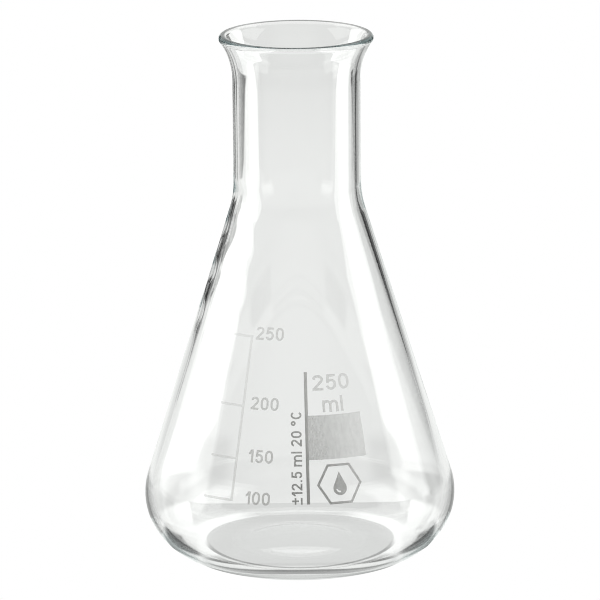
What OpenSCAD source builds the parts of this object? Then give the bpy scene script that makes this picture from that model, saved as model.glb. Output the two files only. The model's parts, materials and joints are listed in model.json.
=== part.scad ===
// Narrow-neck conical flask of blown borosilicate glass, marked with fired enamel.
// Millimetres, +Z up, origin in the middle of the foot, on the surface it stands on.
// The enamel faces -Y. An azimuth is in degrees round the axis from there, towards +X.

/* [Body] */
// Overall height
flask_h = 145; // [138:0.5:152]
// Largest outside diameter, at the heel
body_d = 85; // [82:0.5:88]
// Slope of the cone's side, in degrees from the axis
cone_angle = 17.35; // [16:0.05:19]
// Outside radius of the heel, between the cone and the foot
heel_r = 17.5; // [14:0.5:20]
// Radius of the hollow sweep from the cone into the neck, outside
shoulder_r = 26; // [20:0.5:32]

/* [Neck and rim] */
// Outside diameter of the neck
neck_d = 34.6; // [33:0.1:36]
// Outside diameter of the rim
rim_d = 41.8; // [40.6:0.1:43.5]
// Height of the flared mouth, from the end of the straight neck to the top
flare_h = 12.5; // [10:0.5:15]
// Radius of the fire-polished lip
lip_r = 1.1; // [0.8:0.05:1.3]

/* [Glass thickness] */
// Wall of the neck
neck_wall = 1.5; // [1.3:0.05:1.8]
// Wall of the cone
body_wall = 1.7; // [1.4:0.05:2.2]
// Thickness of the base
base_t = 2.4; // [1.8:0.1:3.2]
// Rise of the base in its middle
push_up = 1.4; // [0.8:0.1:2.2]
// Inner radius of the flat ring that the flask stands on
foot_r = 19; // [16:0.5:21]

/* [Enamel] */
// Thickness of the enamel
enamel_t = 0.07; // [0.04:0.01:0.12]
// Stroke of the numerals and letters, as a share of their height
stroke = 0.165; // [0.12:0.005:0.18]

/* [Graduation] */
// Azimuth of the upright line of the scale
scale_az = -26.6; // [-29:0.1:-25]
// Width of the upright line
scale_line_w = 0.7; // [0.4:0.05:1]
// Width of the tick marks
tick_w = 0.6; // [0.4:0.05:0.8]
// Azimuth where the tick marks end
tick_end_az = -39; // [-45:0.5:-34]
// Height of the 100 ml mark
mark_100_z = 25.4; // [25:0.1:27]
// Height of the 150 ml mark
mark_150_z = 36.1; // [34:0.1:38]
// Height of the 200 ml mark
mark_200_z = 49.6; // [47:0.1:52]
// Height of the 250 ml mark
mark_250_z = 67.5; // [65:0.1:70]
// Height of the numerals beside the marks
numeral_h = 3.5; // [3:0.1:4]
// Azimuth of the middle of the numerals
numeral_az = -16.2; // [-17:0.1:-13]
// How far the middle of a numeral is above its mark
numeral_lift = 1; // [0:0.1:1.6]

/* [Capacity panel] */
// Azimuth of the upright bar
bar_az = 3.2; // [2.6:0.1:3.6]
// Width of the bar
bar_w = 0.85; // [0.5:0.05:1.1]
// Height of the bar's lower end
bar_low_z = 25.2; // [24:0.1:27]
// Height of the bar's upper end
bar_high_z = 58.9; // [57:0.1:62]
// Azimuth of the middle of the large numerals and their unit
capacity_az = 15.7; // [14.5:0.1:17]
// Height of the large numerals and of the unit's tall letter
capacity_h = 4.2; // [3.5:0.1:4.6]
// Height above the foot of the large numerals' middle
capacity_z = 56.1; // [55.6:0.1:60]
// Height above the foot of the unit's middle
unit_z = 50.5; // [50.4:0.1:51]
// Height of the writing patch's lower edge
patch_low_z = 36.5; // [36.1:0.1:40]
// Height of the writing patch's upper edge
patch_high_z = 47.8; // [44:0.1:48]
// Azimuth where the writing patch ends
patch_end_az = 28.5; // [20:0.5:34]
// Height of the tolerance caption's numerals
caption_h = 2.9; // [2.4:0.1:3.2]
// Azimuth of the caption's baseline
caption_az = 1; // [0:0.1:1.2]
// Radius of the emblem's hexagon, to its corners
emblem_r = 6.2; // [4:0.1:6.4]
// Azimuth of the emblem's middle
emblem_az = 15.7; // [14.5:0.1:18]
// Height of the emblem's middle
emblem_z = 30.1; // [29.5:0.1:30.3]

/* [Hidden] */
$fn = 360;

GLASS = [0.80, 0.90, 0.88, 0.35];
ENAMEL = [0.80, 0.80, 0.77];
ENAMEL_DARK = [0.60, 0.60, 0.58];

// Outside of the glass. A point p lies on the cone's side where p * cone_normal = cone_reach.
neck_r = neck_d / 2;
heel_at = [body_d / 2 - heel_r, heel_r];
cone_normal = [cos(cone_angle), sin(cone_angle)];
cone_reach = heel_at * cone_normal + heel_r;
flare_z = flask_h - flare_h;
lip_at = [rim_d / 2 - lip_r, flask_h - lip_r];
lip_rise = lip_at[1] - flare_z;

// Inside of the glass
bore_r = neck_r - neck_wall;
inner_reach = cone_reach - body_wall;
inner_shoulder_r = shoulder_r + neck_wall;
inner_heel_r = (inner_reach - heel_at[0] * cone_normal[0] - base_t * cone_normal[1]) / (1 + cone_normal[1]);

// The flare's two curves start upright at the neck and touch the lip, outside and inside.
out_lean = lip_at[0] - neck_r;
in_lean = lip_at[0] - bore_r;
flare_r = (out_lean ^ 2 + lip_rise ^ 2 - lip_r ^ 2) / (2 * (out_lean + lip_r));
inner_flare_r = (in_lean ^ 2 + lip_rise ^ 2 - lip_r ^ 2) / (2 * (in_lean - lip_r));

// The pushed-up base is two equal and opposite bends: a dome in the middle and a foot round it.
base_bend = 2 * atan(push_up / foot_r);
base_bends_r = foot_r / sin(base_bend);
foot_bend_r = base_bends_r / 4;
dome_r = base_bends_r - foot_bend_r;

// Proportions of the numerals and letters, as shares of their height
$digit_w = 0.63;
WIDE_DIGIT_W = 0.7;
GLYPH_GAP = 0.15;
ROUND_STEPS = 10;

// How far the printed shapes reach through the cone's side, each way
REACH = 1.5;
// Radius that is clear of the whole body
CLEAR_R = 60;

function arc(c, rx, ry, a0, a1, n = ROUND_STEPS) =
    [for (i = [0:n]) let (a = a0 + (a1 - a0) * i / n) c + [rx * cos(a), ry * sin(a)]];
function round_arc(c, r, a0, a1, n) = arc(c, r, r, a0, a1, n);

// Radius of the cone's outside at height z
function cone_r(z) = (cone_reach - z * cone_normal[1]) / cone_normal[0];

// Middle of a shoulder curve of radius r that meets the neck at radius n and the cone at reach
function shoulder_at(n, r, reach) = [n + r, (reach + r - (n + r) * cone_normal[0]) / cone_normal[1]];

// The base's section from the axis out to the foot, at height z
function base_curve(z) = concat(
    round_arc([0, z + push_up - dome_r], dome_r, 90, 90 - base_bend, 8),
    round_arc([foot_r, z + foot_bend_r], foot_bend_r, 270 - base_bend, 270, 5)
);

function reverse(list) = [for (i = [len(list) - 1:-1:0]) list[i]];

// The glass in section: up the outside, over the lip and down the inside
function outside() = concat(
    base_curve(0),
    round_arc(heel_at, heel_r, -90, cone_angle, 28),
    round_arc(shoulder_at(neck_r, shoulder_r, cone_reach), shoulder_r, 180 + cone_angle, 180, 12)
);
function flare_angle(neck, r) = atan2(lip_rise, lip_at[0] - neck - r);
function mouth() = concat(
    round_arc([neck_r + flare_r, flare_z], flare_r, 180, flare_angle(neck_r, flare_r), 14),
    round_arc(lip_at, lip_r, flare_angle(neck_r, flare_r) - 180, flare_angle(bore_r, inner_flare_r), 18),
    round_arc([bore_r + inner_flare_r, flare_z], inner_flare_r, flare_angle(bore_r, inner_flare_r), 180, 14)
);
function inside() = concat(
    round_arc(shoulder_at(bore_r, inner_shoulder_r, inner_reach), inner_shoulder_r,
        180, 180 + cone_angle, 12),
    round_arc([heel_at[0], base_t + inner_heel_r], inner_heel_r, cone_angle, -90, 28),
    reverse(base_curve(base_t))
);

module flask_body() {
    color(GLASS) rotate_extrude() polygon(concat(outside(), mouth(), inside()));
}

// A skin of enamel thickness on the straight part of the cone
module enamel_skin() {
    low = heel_at[1] + heel_r * cone_normal[1];
    high = shoulder_at(neck_r, shoulder_r, cone_reach)[1] - shoulder_r * cone_normal[1];
    out = enamel_t / cone_normal[0];
    rotate_extrude() polygon([
        [cone_r(low), low], [cone_r(low) + out, low], [cone_r(high) + out, high], [cone_r(high), high]
    ]);
}

// Whatever of the children lies in the enamel's skin
module enamel(shade = ENAMEL) {
    color(shade) intersection() {
        enamel_skin();
        union() children();
    }
}

// Sets flat children on the cone's side, with their y axis up the slope
module on_cone(az, z) {
    rotate([0, 0, az])
        translate([0, -cone_r(z), z])
            rotate([90 - cone_angle, 0, 0])
                translate([0, 0, -REACH])
                    linear_extrude(2 * REACH) children();
}

// A straight line of enamel up the slope
module upright_line(az, low, high, w) {
    on_cone(az, low) translate([-w / 2, 0]) square([w, (high - low) / cone_normal[0]]);
}

// A level slice of a sector, from one azimuth to another
module sector(az0, az1, low, high) {
    translate([0, 0, low])
        linear_extrude(high - low)
            polygon(concat([[0, 0]], [for (a = [az0, (az0 + az1) / 2, az1]) CLEAR_R * [sin(a), -cos(a)]]));
}

// Strokes: a path widened to w, with mitred corners and square ends
function heading(p, q) = (q - p) / norm(q - p);
function normal_of(d) = [-d[1], d[0]];
function corner_shift(before, after) =
    let (m = normal_of(before) + normal_of(after)) m / (m * normal_of(after));
function beside(path, d, closed = false) = let (n = len(path)) [
    for (i = [0:n - 1])
        let (
            after = i < n - 1 || closed ? heading(path[i], path[(i + 1) % n]) : heading(path[n - 2], path[n - 1]),
            before = i > 0 || closed ? heading(path[(i + n - 1) % n], path[i]) : after
        )
        path[i] + d * corner_shift(before, after)
];
module band(path) {
    polygon(concat(beside(path, stroke / 2), reverse(beside(path, -stroke / 2))));
}
module loop(path) {
    difference() {
        polygon(beside(path, -stroke / 2, true));
        polygon(beside(path, stroke / 2, true));
    }
}

// Numerals, letters and signs, each in a frame one unit high
module digit_0() {
    rx = ($digit_w - stroke) / 2;
    ry = 0.31;
    top = arc([$digit_w / 2, 1 - stroke / 2 - ry], rx, ry, 0, 180);
    bottom = arc([$digit_w / 2, stroke / 2 + ry], rx, ry, 180, 360);
    loop(concat(top, bottom));
}

module digit_1() {
    right = glyph_w("1");
    translate([right - stroke, 0]) square([stroke, 1]);
    intersection() {
        square([right, 1]);
        band([[-0.1, 0.66], [0.1, 0.72], [right - stroke / 2, 1]]);
    }
}

module digit_2() {
    rx = ($digit_w - stroke) / 2;
    ry = 0.22;
    square([$digit_w, stroke]);
    intersection() {
        square([$digit_w, 1]);
        band(concat(arc([$digit_w / 2, 1 - stroke / 2 - ry], rx, ry, 175, -38), [[stroke, stroke] * 0.4]));
    }
}

module digit_5() {
    rx = ($digit_w - stroke) / 2;
    ry = 0.27;
    band([[$digit_w - 0.04, 1 - stroke / 2], [0.18, 1 - stroke / 2], [0.12, 0.46]]);
    band(arc([$digit_w / 2, stroke / 2 + ry], rx, ry, 140, -162, 2 * ROUND_STEPS));
}

module letter_m() {
    right = glyph_w("m");
    x_height = 0.76;
    stem_gap = (right - stroke) / 2;
    ry = 0.2;
    square([stroke, x_height]);
    for (x = [stroke / 2, stroke / 2 + stem_gap])
        band(concat(
            arc([x + stem_gap / 2, x_height - stroke / 2 - ry], stem_gap / 2, ry, 180, 0), [[x + stem_gap, 0]]
        ));
}

module letter_c() {
    rx = (glyph_w("C") - stroke) / 2;
    band(arc([glyph_w("C") / 2, 0.5], rx, 0.5 - stroke / 2, 40, 320, 2 * ROUND_STEPS));
}

module degree_sign() {
    r = (glyph_w("o") - stroke) / 2;
    loop(round_arc([glyph_w("o") / 2, 1 - glyph_w("o") / 2], r, 0, 330, 11));
}

module plus_minus_sign() {
    side = glyph_w("+");
    square([side, stroke]);
    translate([0, 0.57]) square([side, stroke]);
    translate([(side - stroke) / 2, 0.57 + (stroke - side) / 2]) square([stroke, side]);
}

// In a caption, "+" stands for plus-or-minus and "o" for the degree sign
function glyph_w(c) =
    c == "1" ? 0.38 : c == "m" ? 1.05 : c == "C" ? 0.74 : c == "o" ? 0.46 : c == "+" ? 0.62
    : c == "l" || c == "." ? stroke : c == " " ? 0.18 : $digit_w;
function glyph_x(chars, i) = i == 0 ? 0 : glyph_x(chars, i - 1) + glyph_w(chars[i - 1]) + GLYPH_GAP;
function row_w(chars) = glyph_x(chars, len(chars)) - GLYPH_GAP;

module glyph(c) {
    if (c == "0") digit_0();
    if (c == "1") digit_1();
    if (c == "2") digit_2();
    if (c == "5") digit_5();
    if (c == "m") letter_m();
    if (c == "l") square([stroke, 1]);
    if (c == ".") square([stroke, stroke]);
    if (c == "C") letter_c();
    if (c == "o") degree_sign();
    if (c == "+") plus_minus_sign();
}

// A level row of glyphs of height h, its middle at az and z
module level_row(chars, h, az, z) {
    for (i = [0:len(chars) - 1]) {
        w = glyph_w(chars[i]);
        x = h * (glyph_x(chars, i) + w / 2 - row_w(chars) / 2);
        on_cone(az + x / cone_r(z) * 180 / PI, z) scale(h) translate([-w / 2, -0.5]) glyph(chars[i]);
    }
}

// A row of glyphs of height h that reads up the slope, its baseline at az
module climbing_row(chars, h, az, z) {
    on_cone(az, z)
        rotate(90)
            scale(h)
                for (i = [0:len(chars) - 1]) translate([glyph_x(chars, i), 0]) glyph(chars[i]);
}

module graduation_scale() {
    enamel() {
        upright_line(scale_az, mark_100_z - tick_w / 2, mark_250_z + tick_w / 2, scale_line_w);
        for (z = [mark_100_z, mark_150_z, mark_200_z, mark_250_z])
            sector(tick_end_az, scale_az, z - tick_w / 2, z + tick_w / 2);
    }
}

module mark_numeral(chars, mark_z) {
    enamel() level_row(chars, numeral_h, numeral_az, mark_z + numeral_lift);
}
module numeral_250() { mark_numeral("250", mark_250_z); }
module numeral_200() { mark_numeral("200", mark_200_z); }
module numeral_150() { mark_numeral("150", mark_150_z); }
module numeral_100() { mark_numeral("100", mark_100_z); }

module capacity_bar() {
    enamel(ENAMEL_DARK) upright_line(bar_az, bar_low_z, bar_high_z, bar_w);
}

module capacity_numerals() {
    enamel() level_row("250", capacity_h, capacity_az, capacity_z, $digit_w = WIDE_DIGIT_W);
}

module capacity_unit() {
    enamel() level_row("ml", capacity_h, capacity_az, unit_z);
}

module tolerance_caption() {
    enamel(ENAMEL_DARK) climbing_row("+12.5 ml 20 oC", caption_h, caption_az, bar_low_z);
}

module writing_patch() {
    start_az = bar_az + bar_w / 2 / cone_r(patch_low_z) * 180 / PI;
    enamel() sector(start_az + 0.1, patch_end_az, patch_low_z, patch_high_z);
}

// A drop of liquid in a hexagonal frame
module emblem() {
    frame_w = 0.12 * emblem_r;
    drop_r = 0.3 * emblem_r;
    drop_h = 0.72 * emblem_r;
    tip_half_angle = acos(drop_r / drop_h);
    glint_r = 0.6 * drop_r;
    enamel(ENAMEL_DARK) on_cone(emblem_az, emblem_z) {
        difference() {
            circle(emblem_r, $fn = 6);
            circle(emblem_r - frame_w, $fn = 6);
        }
        translate([0, -0.2 * emblem_r]) difference() {
            polygon(concat(
                [[0, drop_h]], round_arc([0, 0], drop_r, 90 + tip_half_angle, 450 - tip_half_angle, 24)
            ));
            polygon(concat(
                round_arc([0, 0], glint_r, 190, 280, 8), round_arc([0, 0], glint_r * 0.6, 280, 190, 8)
            ));
        }
    }
}

flask_body();
graduation_scale();
numeral_250();
numeral_200();
numeral_150();
numeral_100();
capacity_bar();
capacity_numerals();
capacity_unit();
tolerance_caption();
writing_patch();
emblem();
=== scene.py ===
import json
import math

import bpy
from mathutils import Matrix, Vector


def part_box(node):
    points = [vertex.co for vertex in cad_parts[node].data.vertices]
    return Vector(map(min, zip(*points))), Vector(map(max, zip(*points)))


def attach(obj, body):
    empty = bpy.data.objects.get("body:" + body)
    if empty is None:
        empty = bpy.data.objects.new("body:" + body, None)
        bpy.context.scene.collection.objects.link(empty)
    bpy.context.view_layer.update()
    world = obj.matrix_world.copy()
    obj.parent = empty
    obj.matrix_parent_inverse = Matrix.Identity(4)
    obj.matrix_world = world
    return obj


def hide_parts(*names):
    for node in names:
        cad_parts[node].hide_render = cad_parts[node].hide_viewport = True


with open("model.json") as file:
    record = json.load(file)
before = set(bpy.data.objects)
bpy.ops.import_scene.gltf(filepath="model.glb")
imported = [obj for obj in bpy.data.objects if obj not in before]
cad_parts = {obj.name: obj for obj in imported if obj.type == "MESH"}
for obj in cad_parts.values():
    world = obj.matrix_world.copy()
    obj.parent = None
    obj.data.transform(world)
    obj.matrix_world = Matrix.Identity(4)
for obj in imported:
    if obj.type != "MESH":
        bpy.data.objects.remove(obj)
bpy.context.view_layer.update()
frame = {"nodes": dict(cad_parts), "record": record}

MM = 0.001

# ---------------------------------------------------------------- sizes from the frame
mounts = {m["name"]: m for m in frame["record"]["mounts"]}
_, body_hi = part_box("flask_body")
HEIGHT = body_hi.z
BODY_R = body_hi.x
NECK_R = mounts["neck_grip"]["dims"]["r_mm"] * MM
BORE_R = mounts["neck_bore"]["dims"]["r_mm"] * MM

# the glass body's other dimensions, as in the CAD model
CONE_ANGLE = math.radians(17.35)
HEEL_R = 17.5 * MM
SHOULDER_R = 26 * MM
RIM_R = 20.9 * MM
FLARE_H = 12.5 * MM
LIP_R = 1.1 * MM
BODY_WALL = 1.7 * MM
BASE_T = 2.4 * MM
PUSH_UP = 1.4 * MM
FOOT_R = 19 * MM

# the mesh: steps in each kind of arc, steps round the axis, the longest step along the section,
# and how close together two points are one point
HEEL_STEPS = 56
FLARE_STEPS = 28
BEND_STEPS = 24
FOOT_STEPS = 12
SEGMENTS = 320
LONGEST_STEP = 1.5 * MM
SAME_PLACE = 1e-7

# ---------------------------------------------------------------- waves in the blown inner wall
# they fade in from the first height on, and fade out again up to the top
RIPPLE_FOOT = 30 * MM
RIPPLE_FADE_IN = 25 * MM
RIPPLE_TOP = 112 * MM
RIPPLE_FADE_OUT = 12 * MM
# long waves all round: their length, height, and how they lean round the flask
LONG_WAVE = 24 * MM
LONG_HEIGHT = 0.006 * MM
LONG_LEAN = 1.2
LONG_PHASE = 0.7
# short waves on the left of the upper cone, which wind round it
SHORT_WAVE = 12 * MM
SHORT_HEIGHT = 0.06 * MM
SHORT_WINDING = 1.5
SHORT_PHASE = 3.2
SHORT_FROM = 62 * MM
SHORT_FADE_IN = 12 * MM
# three lobes round the flask, twisting as they rise
LOBES = 3
LOBE_HEIGHT = 0.008 * MM
LOBE_TWIST = 40 * MM
LOBE_PHASE = 0.4


def ramp(distance, length):
    """0 up to no distance, rising to 1 at the given length."""
    return max(0, min(1, distance / length))


def inner_ripple(a, z):
    """How far the inner wall strays from true at azimuth a and height z."""
    on_cone = ramp(z - RIPPLE_FOOT, RIPPLE_FADE_IN) * ramp(RIPPLE_TOP - z, RIPPLE_FADE_OUT)
    upper_left = max(0, -math.cos(a)) ** 2 * ramp(z - SHORT_FROM, SHORT_FADE_IN)
    long_wave = math.sin(2 * math.pi * z / LONG_WAVE + LONG_LEAN * math.sin(a + LONG_PHASE))
    short_wave = math.sin(2 * math.pi * z / SHORT_WAVE + SHORT_WINDING * a + SHORT_PHASE)
    lobes = math.sin(LOBES * a + LOBE_PHASE + z / LOBE_TWIST)
    waves = LONG_HEIGHT * long_wave + SHORT_HEIGHT * upper_left * short_wave
    return on_cone * (waves + LOBE_HEIGHT * lobes)


# ---------------------------------------------------------------- the glass
def arc(centre, radius, start, end, steps):
    """Points of an arc in the section, from start to end, in radians."""
    angles = (start + (end - start) * i / steps for i in range(steps + 1))
    return [(centre[0] + radius * math.cos(a), centre[1] + radius * math.sin(a)) for a in angles]


def base_curve(z):
    """The pushed-up base in section, from the axis out to the foot."""
    bend = 2 * math.atan(PUSH_UP / FOOT_R)
    both = FOOT_R / math.sin(bend)
    foot = both / 4
    dome = both - foot
    up = math.pi / 2
    inner = arc((0, z + PUSH_UP - dome), dome, up, up - bend, BEND_STEPS)
    outer = arc((FOOT_R, z + foot), foot, -up - bend, -up, FOOT_STEPS)
    return inner + outer[1:]


def glass_section():
    """The section of the glass: the outside from the axis to the lip, and the inside back again."""
    cos_a, sin_a = math.cos(CONE_ANGLE), math.sin(CONE_ANGLE)
    down, left = -math.pi / 2, math.pi
    heel = (BODY_R - HEEL_R, HEEL_R)
    reach = heel[0] * cos_a + heel[1] * sin_a + HEEL_R
    inner_reach = reach - BODY_WALL
    inner_heel_r = (inner_reach - heel[0] * cos_a - BASE_T * sin_a) / (1 + sin_a)
    flare_z = HEIGHT - FLARE_H
    lip = (RIM_R - LIP_R, HEIGHT - LIP_R)
    rise = lip[1] - flare_z

    def shoulder(neck_r, radius, limit):
        return neck_r + radius, (limit + radius - (neck_r + radius) * cos_a) / sin_a

    out_lean, in_lean = lip[0] - NECK_R, lip[0] - BORE_R
    flare_r = (out_lean**2 + rise**2 - LIP_R**2) / (2 * (out_lean + LIP_R))
    inner_flare_r = (in_lean**2 + rise**2 - LIP_R**2) / (2 * (in_lean - LIP_R))
    out_end = math.atan2(rise, out_lean - flare_r)
    in_end = math.atan2(rise, in_lean - inner_flare_r)
    inner_shoulder_r = SHOULDER_R + NECK_R - BORE_R
    shoulder_out = shoulder(NECK_R, SHOULDER_R, reach)
    shoulder_in = shoulder(BORE_R, inner_shoulder_r, inner_reach)

    outside = base_curve(0)
    outside += arc(heel, HEEL_R, down, CONE_ANGLE, HEEL_STEPS)
    outside += arc(shoulder_out, SHOULDER_R, left + CONE_ANGLE, left, BEND_STEPS)
    outside += arc((NECK_R + flare_r, flare_z), flare_r, left, out_end, FLARE_STEPS)
    outside += arc(lip, LIP_R, out_end - math.pi, in_end, BEND_STEPS)[1:-1]
    inside = arc((BORE_R + inner_flare_r, flare_z), inner_flare_r, in_end, left, FLARE_STEPS)
    inside += arc(shoulder_in, inner_shoulder_r, left, left + CONE_ANGLE, BEND_STEPS)
    inside += arc((heel[0], BASE_T + inner_heel_r), inner_heel_r, CONE_ANGLE, down, HEEL_STEPS)
    inside += base_curve(BASE_T)[::-1]
    return outside, inside


def refine(points):
    """The same line with no step longer than LONGEST_STEP, and no point twice."""
    fine = [points[0]]
    for end in points[1:]:
        start = fine[-1]
        length = math.dist(start, end)
        if length < SAME_PLACE:
            continue
        steps = max(1, math.ceil(length / LONGEST_STEP))
        fine += [
            (start[0] + (end[0] - start[0]) * i / steps, start[1] + (end[1] - start[1]) * i / steps)
            for i in range(1, steps + 1)
        ]
    return fine


def ring_of_points(r, z, wobble):
    """Points round the axis at radius r and height z, or one point where r is 0."""
    if r < SAME_PLACE:
        return [(0, 0, z)]
    points = []
    for k in range(SEGMENTS):
        a = 2 * math.pi * k / SEGMENTS
        there = r + (wobble(a, z) if wobble else 0)
        points.append((there * math.cos(a), there * math.sin(a), z))
    return points


def lathe(name, lines):
    """A body of revolution. Each line of the section has its own wobble or None.

    The lines follow each other, from the axis and back to it, so the body is closed.
    """
    verts, faces, rings = [], [], []
    for section, wobble in lines:
        for r, z in section:
            points = ring_of_points(r, z, wobble)
            rings.append(range(len(verts), len(verts) + len(points)))
            verts += points
    for low, high in zip(rings, rings[1:]):
        for k in range(SEGMENTS):
            n = (k + 1) % SEGMENTS
            if len(low) == 1:
                faces.append((low[0], high[n], high[k]))
            elif len(high) == 1:
                faces.append((low[k], low[n], high[0]))
            else:
                faces.append((low[k], low[n], high[n], high[k]))
    mesh = bpy.data.meshes.new(name)
    mesh.from_pydata(verts, [], faces)
    mesh.polygons.foreach_set("use_smooth", [True] * len(faces))
    mesh.validate()
    obj = bpy.data.objects.new(name, mesh)
    bpy.context.scene.collection.objects.link(obj)
    return obj


outside, inside = glass_section()
glass = lathe("glass_body", [(refine(outside), None), (refine(inside), inner_ripple)])
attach(glass, "root")
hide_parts("flask_body")


# ---------------------------------------------------------------- node helpers
def new_material(name):
    """A new material, and its node tree with nothing in it."""
    material = bpy.data.materials.new(name)
    material.use_nodes = True
    tree = material.node_tree
    tree.nodes.clear()
    return material, tree


def add(tree, kind, **inputs):
    """A new node, with values for its inputs, whose names have _ for a space."""
    node = tree.nodes.new(kind)
    for key, value in inputs.items():
        node.inputs[key.replace("_", " ")].default_value = value
    return node


def position(tree, output):
    """A texture coordinate, whole and as its x, y and z."""
    coord = tree.nodes.new("ShaderNodeTexCoord")
    split = tree.nodes.new("ShaderNodeSeparateXYZ")
    tree.links.new(coord.outputs[output], split.inputs[0])
    return coord.outputs[output], split.outputs


class Maths:
    """Small sums of sockets in a node tree."""

    def __init__(self, tree):
        self.tree = tree

    def node(self, operation, *values):
        node = self.tree.nodes.new("ShaderNodeMath")
        node.operation = operation
        for socket, value in zip(node.inputs, values):
            if isinstance(value, bpy.types.NodeSocket):
                self.tree.links.new(value, socket)
            else:
                socket.default_value = value
        return node.outputs[0]

    def add(self, a, b):
        return self.node("ADD", a, b)

    def minus(self, a, b):
        return self.node("SUBTRACT", a, b)

    def times(self, *values):
        product = values[0]
        for value in values[1:]:
            product = self.node("MULTIPLY", product, value)
        return product

    def size(self, value):
        return self.node("ABSOLUTE", value)

    def larger(self, a, b):
        return self.node("MAXIMUM", a, b)

    def past(self, value, edge, softness):
        """1 where value is past the edge, 0 before it, with a soft edge."""
        node = self.tree.nodes.new("ShaderNodeMapRange")
        node.interpolation_type = "SMOOTHSTEP"
        self.tree.links.new(value, node.inputs["Value"])
        node.inputs["From Min"].default_value = edge - softness / 2
        node.inputs["From Max"].default_value = edge + softness / 2
        return node.outputs["Result"]

    def before(self, value, edge, softness):
        return self.minus(1, self.past(value, edge, softness))

    def between(self, value, low, high, softness):
        return self.times(self.past(value, low, softness), self.before(value, high, softness))

    def blend(self, a, b, *masks):
        """b where all the masks are 1, and a elsewhere."""
        mask = self.times(*masks)
        return self.add(self.times(a, self.minus(1, mask)), self.times(b, mask))

    def azimuth(self, x, y):
        """Degrees round from the camera's side, positive towards +X."""
        return self.node("DEGREES", self.node("ARCTAN2", x, self.times(y, -1)))


# ---------------------------------------------------------------- glass material
GLASS_IOR = 1.474
GLASS_TINT = (0.42, 0.55, 0.56, 1)
GLASS_DENSITY = 8.0
# painted shade: the fire-polished top of the lip is darkened to a fine grey line, standing in for
# the dark line the glass shows there
LIP_PAINTED_SHADE = 0.12
LIP_SHADE_BAND = 0.19 * MM
LIP_SHADE_SOFTNESS = 0.1 * MM


def glass_material():
    """Clear borosilicate glass, with a slight blue-green absorption, and a painted dark line on top
    of the lip.
    """
    material, tree = new_material("borosilicate_glass")
    maths = Maths(tree)
    out = tree.nodes.new("ShaderNodeOutputMaterial")
    shader = add(
        tree, "ShaderNodeBsdfPrincipled", IOR=GLASS_IOR, Roughness=0.0, Transmission_Weight=1
    )
    absorb = add(tree, "ShaderNodeVolumeAbsorption", Color=GLASS_TINT, Density=GLASS_DENSITY)
    _, (_, _, z) = position(tree, "Object")
    # the base colour turns dark at the top of the lip: painted shade
    clear = maths.blend(1, LIP_PAINTED_SHADE, maths.past(z, HEIGHT - LIP_SHADE_BAND, LIP_SHADE_SOFTNESS))
    tint = tree.nodes.new("ShaderNodeCombineColor")
    for channel in ("Red", "Green", "Blue"):
        tree.links.new(clear, tint.inputs[channel])
    tree.links.new(tint.outputs[0], shader.inputs["Base Color"])
    tree.links.new(shader.outputs[0], out.inputs["Surface"])
    tree.links.new(absorb.outputs[0], out.inputs["Volume"])
    return material


# ---------------------------------------------------------------- enamel materials
ENAMEL_IOR = 1.5
ENAMEL_WARMTH = 0.965
# upright streaks from the squeegee, and fine grain
STREAK_SCALE = 1.4 / MM
STREAK_STRETCH = 0.12
STREAK_DETAIL = 3
STREAK_ROUGHNESS = 0.6
GRAIN_SCALE = 5 / MM
GRAIN_DETAIL = 2
# where tone and cover change up the flask (the tone's change is painted shade), and cover changes
# across it: the middle, the width
UPWARDS = (45 * MM, 70 * MM)
SIDEWAYS = (9 * MM, 20 * MM)
# how strongly the patterns show in the tone, the cover and the roughness, and each one's base
STREAK_TONE = 0.3
GRAIN_TONE = 0.12
TONE_BASE = 0.79
STREAK_COVER = 0.8
COVER_BASE = 0.6
GRAIN_ROUGHNESS = 0.3
ROUGHNESS_BASE = 0.35
COVER_LOW = 1.2
COVER_HIGH = 0.6
COVER_LEFT = 1.12
COVER_RIGHT = 0.6
BUMP_STRENGTH = 0.25
BUMP_DEPTH = 0.02 * MM

# each ink's tones low and high on the flask, its cover, and what is left of that at the right; the
# darker low tones are painted shade for the dimmer light lower down
INKS = {
    "thin_enamel": {"low": 0.75, "high": 0.9, "cover": 0.32},
    "faint_enamel": {"low": 0.75, "high": 0.9, "cover": 0.14},
    "dense_shaded_enamel": {"low": 0.55, "high": 0.8, "cover": 0.55},
    "patch_enamel": {"low": 0.6, "high": 0.85, "cover": 0.34, "right": 0.45},
}
USUAL_INK = "thin_enamel"
# the bar, caption and emblem take the dense ink, which covers more and whose darker tones are
# painted shade
OTHER_INKS = {
    "graduation_scale": "faint_enamel",
    "capacity_bar": "dense_shaded_enamel",
    "tolerance_caption": "dense_shaded_enamel",
    "emblem": "dense_shaded_enamel",
    "writing_patch": "patch_enamel",
}


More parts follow.
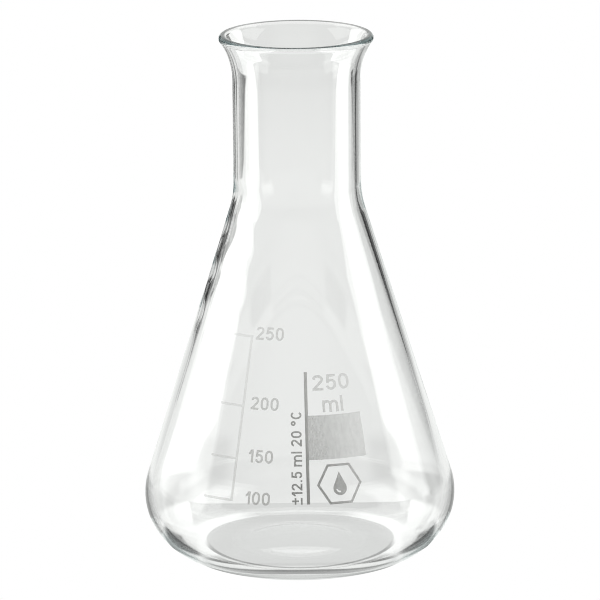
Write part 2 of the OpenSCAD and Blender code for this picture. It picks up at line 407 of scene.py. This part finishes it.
def enamel_material(name, low, high, cover, right=COVER_RIGHT):
    """Screen-printed, fired enamel: a thin, slightly patchy coat, denser lower down the flask, and
    darker there, which is painted shade.
    """
    material, tree = new_material(name)
    maths = Maths(tree)
    out = tree.nodes.new("ShaderNodeOutputMaterial")
    shader = add(tree, "ShaderNodeBsdfPrincipled", IOR=ENAMEL_IOR)
    place, (x, _, z) = position(tree, "Object")
    stretch = add(tree, "ShaderNodeMapping", Scale=(1, 1, STREAK_STRETCH))
    tree.links.new(place, stretch.inputs["Vector"])
    streak_noise = add(
        tree, "ShaderNodeTexNoise",
        Scale=STREAK_SCALE, Detail=STREAK_DETAIL, Roughness=STREAK_ROUGHNESS,
    )
    tree.links.new(stretch.outputs[0], streak_noise.inputs["Vector"])
    grain_noise = add(tree, "ShaderNodeTexNoise", Scale=GRAIN_SCALE, Detail=GRAIN_DETAIL)
    tree.links.new(place, grain_noise.inputs["Vector"])
    streaks = streak_noise.outputs["Fac"]
    grain = grain_noise.outputs["Fac"]

    height = maths.past(z, *UPWARDS)
    patchy = maths.add(maths.times(streaks, STREAK_TONE), maths.times(grain, GRAIN_TONE))
    # the tone darkens lower down the flask: painted shade for the dimmer light there
    tone_with_painted_shade = maths.times(maths.blend(low, high, height), maths.add(patchy, TONE_BASE))
    tint = tree.nodes.new("ShaderNodeCombineColor")
    tree.links.new(tone_with_painted_shade, tint.inputs["Red"])
    tree.links.new(tone_with_painted_shade, tint.inputs["Green"])
    tree.links.new(maths.times(tone_with_painted_shade, ENAMEL_WARMTH), tint.inputs["Blue"])
    tree.links.new(tint.outputs[0], shader.inputs["Base Color"])
    roughness = maths.add(maths.times(grain, GRAIN_ROUGHNESS), ROUGHNESS_BASE)
    tree.links.new(roughness, shader.inputs["Roughness"])

    screen = maths.add(maths.times(streaks, STREAK_COVER), COVER_BASE)
    sideways = maths.blend(COVER_LEFT, right, maths.past(x, *SIDEWAYS))
    upwards = maths.blend(COVER_LOW, COVER_HIGH, height)
    tree.links.new(maths.times(screen, sideways, upwards, cover), shader.inputs["Alpha"])
    bump = add(tree, "ShaderNodeBump", Strength=BUMP_STRENGTH, Distance=BUMP_DEPTH)
    tree.links.new(grain, bump.inputs["Height"])
    tree.links.new(bump.outputs[0], shader.inputs["Normal"])
    tree.links.new(shader.outputs[0], out.inputs["Surface"])
    return material


glass.data.materials.append(glass_material())
inks = {name: enamel_material(name, **values) for name, values in INKS.items()}
for name, node in frame["nodes"].items():
    if name != "flask_body":
        node.data.materials.clear()
        node.data.materials.append(inks[OTHER_INKS.get(name, USUAL_INK)])


# ---------------------------------------------------------------- studio light
# Below, an edge is (place, softness) and a band is (from, to, softness). Directions are degrees
# round from the camera's side, positive towards +X. In the world, z is the sine of the elevation.
LIGHT_TINT = (0.990, 1.0, 0.984, 1)
WHITE = (1, 1, 1, 1)
ROOM = 0.04
BACKDROP = 0.855
BACKDROP_LEFT = (-168.5, 3)
BACKDROP_RIGHT = (163, 3)
BACKDROP_TOP = (0.64, 0.06)
BACK_WALL = 0.75
BACK_WALL_START = (114, 6)
BACK_WALL_FOOT = (0.19, 0.03)
TOP_LIGHT = 2.0
TOP_LIGHT_BAND = (0.53, 0.80, 0.04)
TOP_LIGHT_SLOPE = 3.5
TOP_LIGHT_FRONT = (0, 0.04)
ZENITH = 0.25
ZENITH_EDGE = (0.80, 0.04)
FRONT_FILL = 0.42
FRONT_WIDTH = (40, 50)
FRONT_BAND = (0.3, 0.72, 0.3)
# lights round the flask: from, to, strength, softness
SOFTBOXES = [(-131, -77, 1.9, 1.5), (81, 113, 1.5, 1.5)]
SOFTBOX_TOP = (0.237, 0.01)
FLOOR_FILLS = [(-143, -131, 0.75, 1.5)]
BACK_FILLS = [(-154, -145, 0.7, 3), (143, 163, 0.45, 3)]


def side_lights(maths, azimuth, panels):
    """The strength of a row of lights in each direction."""
    total = 0.0
    for low, high, strength, softness in panels:
        total = maths.add(total, maths.times(maths.between(azimuth, low, high, softness), strength))
    return total


def shine(tree, strength, output):
    """White to the camera, and light of the given strength to everything else."""
    kind = "ShaderNodeBackground" if output == "ShaderNodeOutputWorld" else "ShaderNodeEmission"
    out = tree.nodes.new(output)
    light = add(tree, kind, Color=LIGHT_TINT)
    plain = add(tree, kind, Color=WHITE, Strength=1)
    path = tree.nodes.new("ShaderNodeLightPath")
    mix = tree.nodes.new("ShaderNodeMixShader")
    tree.links.new(strength, light.inputs["Strength"])
    tree.links.new(path.outputs["Is Camera Ray"], mix.inputs["Fac"])
    tree.links.new(light.outputs[0], mix.inputs[1])
    tree.links.new(plain.outputs[0], mix.inputs[2])
    tree.links.new(mix.outputs[0], out.inputs["Surface"])


def studio_world():
    """A light tent: a backdrop, softboxes, a top light over the sides and back, a dim front."""
    world = bpy.data.worlds.new("studio")
    world.use_nodes = True
    tree = world.node_tree
    tree.nodes.clear()
    maths = Maths(tree)
    _, (x, y, z) = position(tree, "Generated")
    azimuth = maths.azimuth(x, y)
    turn = maths.size(azimuth)

    behind = maths.add(maths.past(azimuth, *BACKDROP_RIGHT), maths.before(azimuth, *BACKDROP_LEFT))
    backdrop = maths.times(behind, maths.before(z, *BACKDROP_TOP), BACKDROP)
    boxes = maths.times(side_lights(maths, azimuth, SOFTBOXES), maths.before(z, *SOFTBOX_TOP))
    fills = side_lights(maths, azimuth, BACK_FILLS)
    strength = maths.add(maths.add(maths.add(backdrop, boxes), fills), ROOM)

    wall = maths.times(maths.past(turn, *BACK_WALL_START), maths.past(z, *BACK_WALL_FOOT))
    sloping = maths.add(z, maths.times(y, TOP_LIGHT_SLOPE))
    top = maths.times(maths.past(sloping, *TOP_LIGHT_FRONT), maths.between(z, *TOP_LIGHT_BAND))
    zenith = maths.past(z, *ZENITH_EDGE)
    front = maths.times(maths.before(turn, *FRONT_WIDTH), maths.between(z, *FRONT_BAND))
    strength = maths.larger(strength, maths.times(wall, BACK_WALL))
    strength = maths.larger(strength, maths.times(top, TOP_LIGHT))
    strength = maths.larger(strength, maths.times(zenith, ZENITH))
    strength = maths.larger(strength, maths.times(front, FRONT_FILL))
    shine(tree, strength, "ShaderNodeOutputWorld")
    return world


# ---------------------------------------------------------------- floor
# The flask shows the floor in two ways: what lies far from it is seen through the neck and cone,
# and what lies under and near it is seen in the base and heel. The floor's light and shade, pools
# of light, shadows and the light the glass gathers, are painted into its emission.
class Spot:
    """Sockets that say where on the floor a point is, in metres and degrees."""

    def __init__(self, tree, maths):
        _, (self.x, self.y, _) = position(tree, "Object")
        self.across = maths.size(self.x)
        self.azimuth = maths.azimuth(self.x, self.y)
        self.turn = maths.size(self.azimuth)
        squares = maths.add(maths.times(self.x, self.x), maths.times(self.y, self.y))
        self.radius = maths.node("SQRT", squares)


# the floor beside the sheet: the softboxes' light is weaker there, but full far off
FAR = (0.15, 0.1)
NEAR_BOXES = 0.5
FAR_BOXES = 0.62
FULL_BOXES = (0.75, 0.1)
FILL_WIDTH = (-0.34, 0.36, 0.04)
# a pool of painted light round the flask, wider at the left
APRON_LIGHT = 0.72
APRON_EDGE = (0.43, 0.03)
APRON_LEAN = 0.1
APRON_START = (72, 6)
FACING = (72, 12)
# two small bright lights low beside the flask's front
GLINT = 2.2
GLINT_TURN = (54, 84, 8)
GLINT_RING = (0.1, 0.2, 0.04)


def beside_sheet(maths, spot):
    """The floor on both sides of the sheet: softboxes, fills and a pool of painted light near the
    flask.
    """
    far = maths.past(spot.radius, *FAR)
    leaning = maths.add(spot.radius, maths.times(spot.x, APRON_LEAN))
    apron = maths.before(leaning, *APRON_EDGE)
    lowered = maths.blend(FAR_BOXES, NEAR_BOXES, apron)
    lowered = maths.blend(lowered, 1, maths.past(spot.radius, *FULL_BOXES))
    boxes = maths.times(side_lights(maths, spot.azimuth, SOFTBOXES), lowered)
    fills = side_lights(maths, spot.azimuth, BACK_FILLS)
    fills = maths.times(fills, maths.between(spot.x, *FILL_WIDTH), far)
    light = maths.add(boxes, side_lights(maths, spot.azimuth, FLOOR_FILLS))
    light = maths.add(maths.add(light, ROOM), fills)
    aside = maths.past(spot.turn, *APRON_START)
    facing = maths.before(spot.turn, *FACING)
    light = maths.larger(light, maths.times(apron, aside, APRON_LIGHT))
    return maths.larger(light, maths.times(far, facing, FRONT_FILL))


def glints(maths, spot):
    """Two small bright lights low beside the flask's front."""
    side = maths.between(spot.turn, *GLINT_TURN)
    return maths.times(side, maths.between(spot.radius, *GLINT_RING), GLINT)


# the sheet: dim in front of the flask, bright behind it, and slowly dimmer towards the back
FRONT_NEAR = 0.6
FRONT_EDGE = (0.3, 0.12)
SHEET = 0.9
SHEET_START = (-15 * MM, 90 * MM)
SHEET_BACK = 0.82
SHEET_DIMS = (0.6, 0.3)
# white cards leave the sheet's middle grey. Its half width is nearly the same close to the flask,
# and grows in proportion to the distance further back
CARD = 1.08
CARD_START = (90 * MM, 20 * MM)
MIDDLE_AT_START = 33.5 * MM
MIDDLE_HALF = 29.5 * MM
MIDDLE_NARROWS = (125 * MM, 40 * MM)
MIDDLE_SLOPE = 0.09
MIDDLE_SLOPE_FAR = 0.055
SLOPE_CHANGES = (1.3, 0.4)
MIDDLE_EDGE = (0, 2 * MM)
CARD_END = 60 * MM
CARD_END_SLOPE = 0.2
CARD_END_EDGE = (0, 10 * MM)


def plain_sheet(maths, spot):
    """The lit sheet with its white cards, as it would be without the flask."""
    front = maths.blend(FRONT_NEAR, FRONT_FILL, maths.past(spot.radius, *FRONT_EDGE))
    sheet = maths.blend(front, SHEET, maths.past(spot.y, *SHEET_START))
    sheet = maths.blend(sheet, SHEET_BACK, maths.past(spot.y, *SHEET_DIMS))
    slope = maths.blend(MIDDLE_SLOPE, MIDDLE_SLOPE_FAR, maths.past(spot.y, *SLOPE_CHANGES))
    half = maths.blend(MIDDLE_AT_START, MIDDLE_HALF, maths.past(spot.y, *MIDDLE_NARROWS))
    half = maths.larger(maths.times(spot.y, slope), half)
    end = maths.larger(maths.times(spot.y, CARD_END_SLOPE), CARD_END)
    return maths.blend(
        sheet, CARD,
        maths.past(maths.minus(spot.across, half), *MIDDLE_EDGE),
        maths.before(maths.minus(spot.across, end), *CARD_END_EDGE),
        maths.past(spot.y, *CARD_START),
    )


# light that the glass gathers, on the sheet behind the flask: a crescent outside an oval
CRESCENT = 0.98
CRESCENT_Y = (42 * MM, 87 * MM, 1 * MM)
CRESCENT_ACROSS = (14 * MM, 50 * MM, 6 * MM)
OVAL_X, OVAL_Y = 1.5 * MM, 87 * MM
OVAL_HALF_X, OVAL_HALF_Y = 31.5 * MM, 29.5 * MM
OVAL_EDGE = (1, 0.06)
# painted shade: grey at the lower corners of the sheet's middle
CORNER_SHADE = 0.8
CORNER_ACROSS = (22.5 * MM, 32.5 * MM, 5 * MM)
CORNER_Y = (64 * MM, 120 * MM, 20 * MM)
# a glow under the flask's back and sides
GLOW = 1.15
NEAR_SIDE = (42 * MM, 1 * MM)
GLOW_TURN = (55, 8)
GLOW_R = (55 * MM, 10 * MM)
# shade outside it, and under the back of the heel
SHADE = 0.74
SIDE_SHADE_R = (52 * MM, 6 * MM)
SIDE_SHADE_ACROSS = (34 * MM, 6 * MM)
SIDE_SHADE_Y = (-2 * MM, 78 * MM, 6 * MM)
BACK_SHADE_WIDTH = (30 * MM, 1.2 * MM)
BACK_SHADE_START = (16 * MM, 14 * MM)
BACK_SHADE_R = (32.5 * MM, 3 * MM)
# painted shade under the base, towards the back
CENTRE_SHADE = 0.8
CENTRE_SHADE_TURN = (150, 20)
CENTRE_SHADE_R = (33 * MM, 3 * MM)
# dark where the heel's sides keep the light off
GAP = 0.12
GAP_R = (35.5 * MM, 55 * MM, 2 * MM)
GAP_TURN = (55, 90, 8)


def light_behind(maths, spot, sheet):
    """The sheet with the light and shade that the glass throws behind it and to its sides."""
    oval_x = maths.times(maths.add(spot.x, -OVAL_X), 1 / OVAL_HALF_X)
    oval_y = maths.times(maths.add(spot.y, -OVAL_Y), 1 / OVAL_HALF_Y)
    oval = maths.add(maths.times(oval_x, oval_x), maths.times(oval_y, oval_y))
    sheet = maths.blend(
        sheet, CRESCENT,
        maths.past(oval, *OVAL_EDGE),
        maths.between(spot.y, *CRESCENT_Y),
        maths.between(spot.across, *CRESCENT_ACROSS),
    )
    sheet = maths.blend(
        sheet, CORNER_SHADE,
        maths.between(spot.across, *CORNER_ACROSS),
        maths.between(spot.y, *CORNER_Y),
    )
    near_side = maths.before(spot.y, *NEAR_SIDE)
    sheet = maths.blend(
        sheet, GLOW,
        near_side,
        maths.past(spot.turn, *GLOW_TURN),
        maths.before(spot.radius, *GLOW_R),
    )
    sheet = maths.blend(
        sheet, SHADE,
        maths.past(spot.radius, *SIDE_SHADE_R),
        maths.past(spot.across, *SIDE_SHADE_ACROSS),
        maths.between(spot.y, *SIDE_SHADE_Y),
    )
    taper = maths.minus(spot.across, maths.times(spot.y, MIDDLE_SLOPE))
    sheet = maths.blend(
        sheet, SHADE,
        near_side,
        maths.before(taper, *BACK_SHADE_WIDTH),
        maths.past(spot.y, *BACK_SHADE_START),
        maths.past(spot.radius, *BACK_SHADE_R),
    )
    sheet = maths.blend(
        sheet, CENTRE_SHADE,
        maths.past(spot.turn, *CENTRE_SHADE_TURN),
        maths.before(spot.radius, *CENTRE_SHADE_R),
    )
    return maths.blend(
        sheet, GAP,
        maths.between(spot.radius, *GAP_R),
        maths.between(spot.turn, *GAP_TURN),
    )


# rings of light and dark in front, seen in the heel: from and to radius, and strength
HEEL_RINGS = [
    (29.2 * MM, 32.2 * MM, 0.25),
    (32.2 * MM, 34.5 * MM, 1.0),
    (34.5 * MM, 36.2 * MM, 0.2),
]
INSIDE_RINGS = 0.85
RING_SOFTNESS = 0.8 * MM
RING_TURN = (52, 14)
RING_LEAN = 2 * MM
LEAN_TURN = (22, 44)
# painted shadow: the grey disc under the base, and the dark line round its front
BASE_SHADOW = 0.69
BASE_SHADOW_EDGE = (26.6 * MM, 0.8 * MM)
BASE_SHADOW_LINE = 0.2
BASE_SHADOW_LINE_R = (25.8 * MM, 27.4 * MM, 0.6 * MM)
BASE_SHADOW_LINE_TURN = (75, 30)


def light_in_front(maths, spot, sheet):
    """The sheet with painted light and shade: the rings in front of the foot and the shadow disc
    under the base.
    """
    lean = maths.times(maths.before(spot.turn, *LEAN_TURN), RING_LEAN)
    ring = maths.minus(spot.radius, lean)
    rings = INSIDE_RINGS
    for inner, outer, strength in HEEL_RINGS:
        rings = maths.blend(rings, strength, maths.between(ring, inner, outer, RING_SOFTNESS))
    sheet = maths.blend(
        sheet, rings,
        maths.before(spot.turn, *RING_TURN),
        maths.before(ring, outer, RING_SOFTNESS),
    )
    sheet = maths.blend(BASE_SHADOW, sheet, maths.past(spot.radius, *BASE_SHADOW_EDGE))
    return maths.blend(
        sheet, BASE_SHADOW_LINE,
        maths.between(spot.radius, *BASE_SHADOW_LINE_R),
        maths.before(spot.turn, *BASE_SHADOW_LINE_TURN),
    )


# the sheet's outline: a strip that runs back, wider far off, and a disc round the flask
STRIP_X = (-0.12, 0.175, 0.02)
WIDE_LEFT = (-160, 2)
WIDE_LEFT_START = (0.74, 0.04)
WIDE_RIGHT = (162, 2)
WIDE_RIGHT_START = (0.76, 0.04)
ROUND_FLASK = (65 * MM, 20 * MM)


def on_sheet(maths, spot):
    """1 on the sheet, 0 beside it."""
    strip = maths.between(spot.x, *STRIP_X)
    left = maths.before(spot.azimuth, *WIDE_LEFT)
    left = maths.times(left, maths.past(spot.y, *WIDE_LEFT_START))
    right = maths.past(spot.azimuth, *WIDE_RIGHT)
    right = maths.times(right, maths.past(spot.y, *WIDE_RIGHT_START))
    strip = maths.larger(strip, maths.larger(left, right))
    return maths.larger(strip, maths.before(spot.radius, *ROUND_FLASK))


def floor_material():
    """A lit white sheet running back from the flask, and what lies beside it, with light and shade
    painted into it.
    """
    material, tree = new_material("floor")
    maths = Maths(tree)
    spot = Spot(tree, maths)
    sheet = plain_sheet(maths, spot)
    sheet = light_behind(maths, spot, sheet)
    sheet = light_in_front(maths, spot, sheet)
    strength = maths.blend(beside_sheet(maths, spot), sheet, on_sheet(maths, spot))
    strength = maths.larger(strength, glints(maths, spot))
    shine(tree, strength, "ShaderNodeOutputMaterial")
    return material


FLOOR_HALF = 30


def make_floor():
    """A flat square floor."""
    mesh = bpy.data.meshes.new("floor")
    signs = [(-1, -1), (1, -1), (1, 1), (-1, 1)]
    corners = [(FLOOR_HALF * sign_x, FLOOR_HALF * sign_y, 0) for sign_x, sign_y in signs]
    mesh.from_pydata(corners, [], [(0, 1, 2, 3)])
    mesh.materials.append(floor_material())
    obj = bpy.data.objects.new("floor", mesh)
    bpy.context.scene.collection.objects.link(obj)
    return obj


bpy.context.scene.world = studio_world()
make_floor()

# ---------------------------------------------------------------- camera
# found by fitting the flask's outline
SENSOR = 36
LENS = 296.2
CAMERA_AT = (0, -1.3045, 0.3979)
YAW = math.radians(-0.021)
PITCH = math.radians(14.06)
ROLL = math.radians(-0.485)
CLIP_START = 0.1
CLIP_END = 50

camera_data = bpy.data.cameras.new("camera")
camera_data.sensor_width = SENSOR
camera_data.lens = LENS
camera_data.clip_start = CLIP_START
camera_data.clip_end = CLIP_END
camera = bpy.data.objects.new("camera", camera_data)
bpy.context.scene.collection.objects.link(camera)
camera.matrix_world = (
    Matrix.Translation(CAMERA_AT)
    @ Matrix.Rotation(YAW, 4, "Z")
    @ Matrix.Rotation(math.pi / 2 - PITCH, 4, "X")
    @ Matrix.Rotation(ROLL, 4, "Z")
)
bpy.context.scene.camera = camera

# ---------------------------------------------------------------- light paths and tone
# light takes many turns between the walls, so paths are long
BOUNCES = 400
FILTER_WIDTH = 1.0
scene = bpy.context.scene
scene.view_settings.view_transform = "Standard"
scene.cycles.filter_width = FILTER_WIDTH
scene.cycles.max_bounces = BOUNCES
scene.cycles.transmission_bounces = BOUNCES
scene.cycles.glossy_bounces = BOUNCES
scene.cycles.transparent_max_bounces = BOUNCES
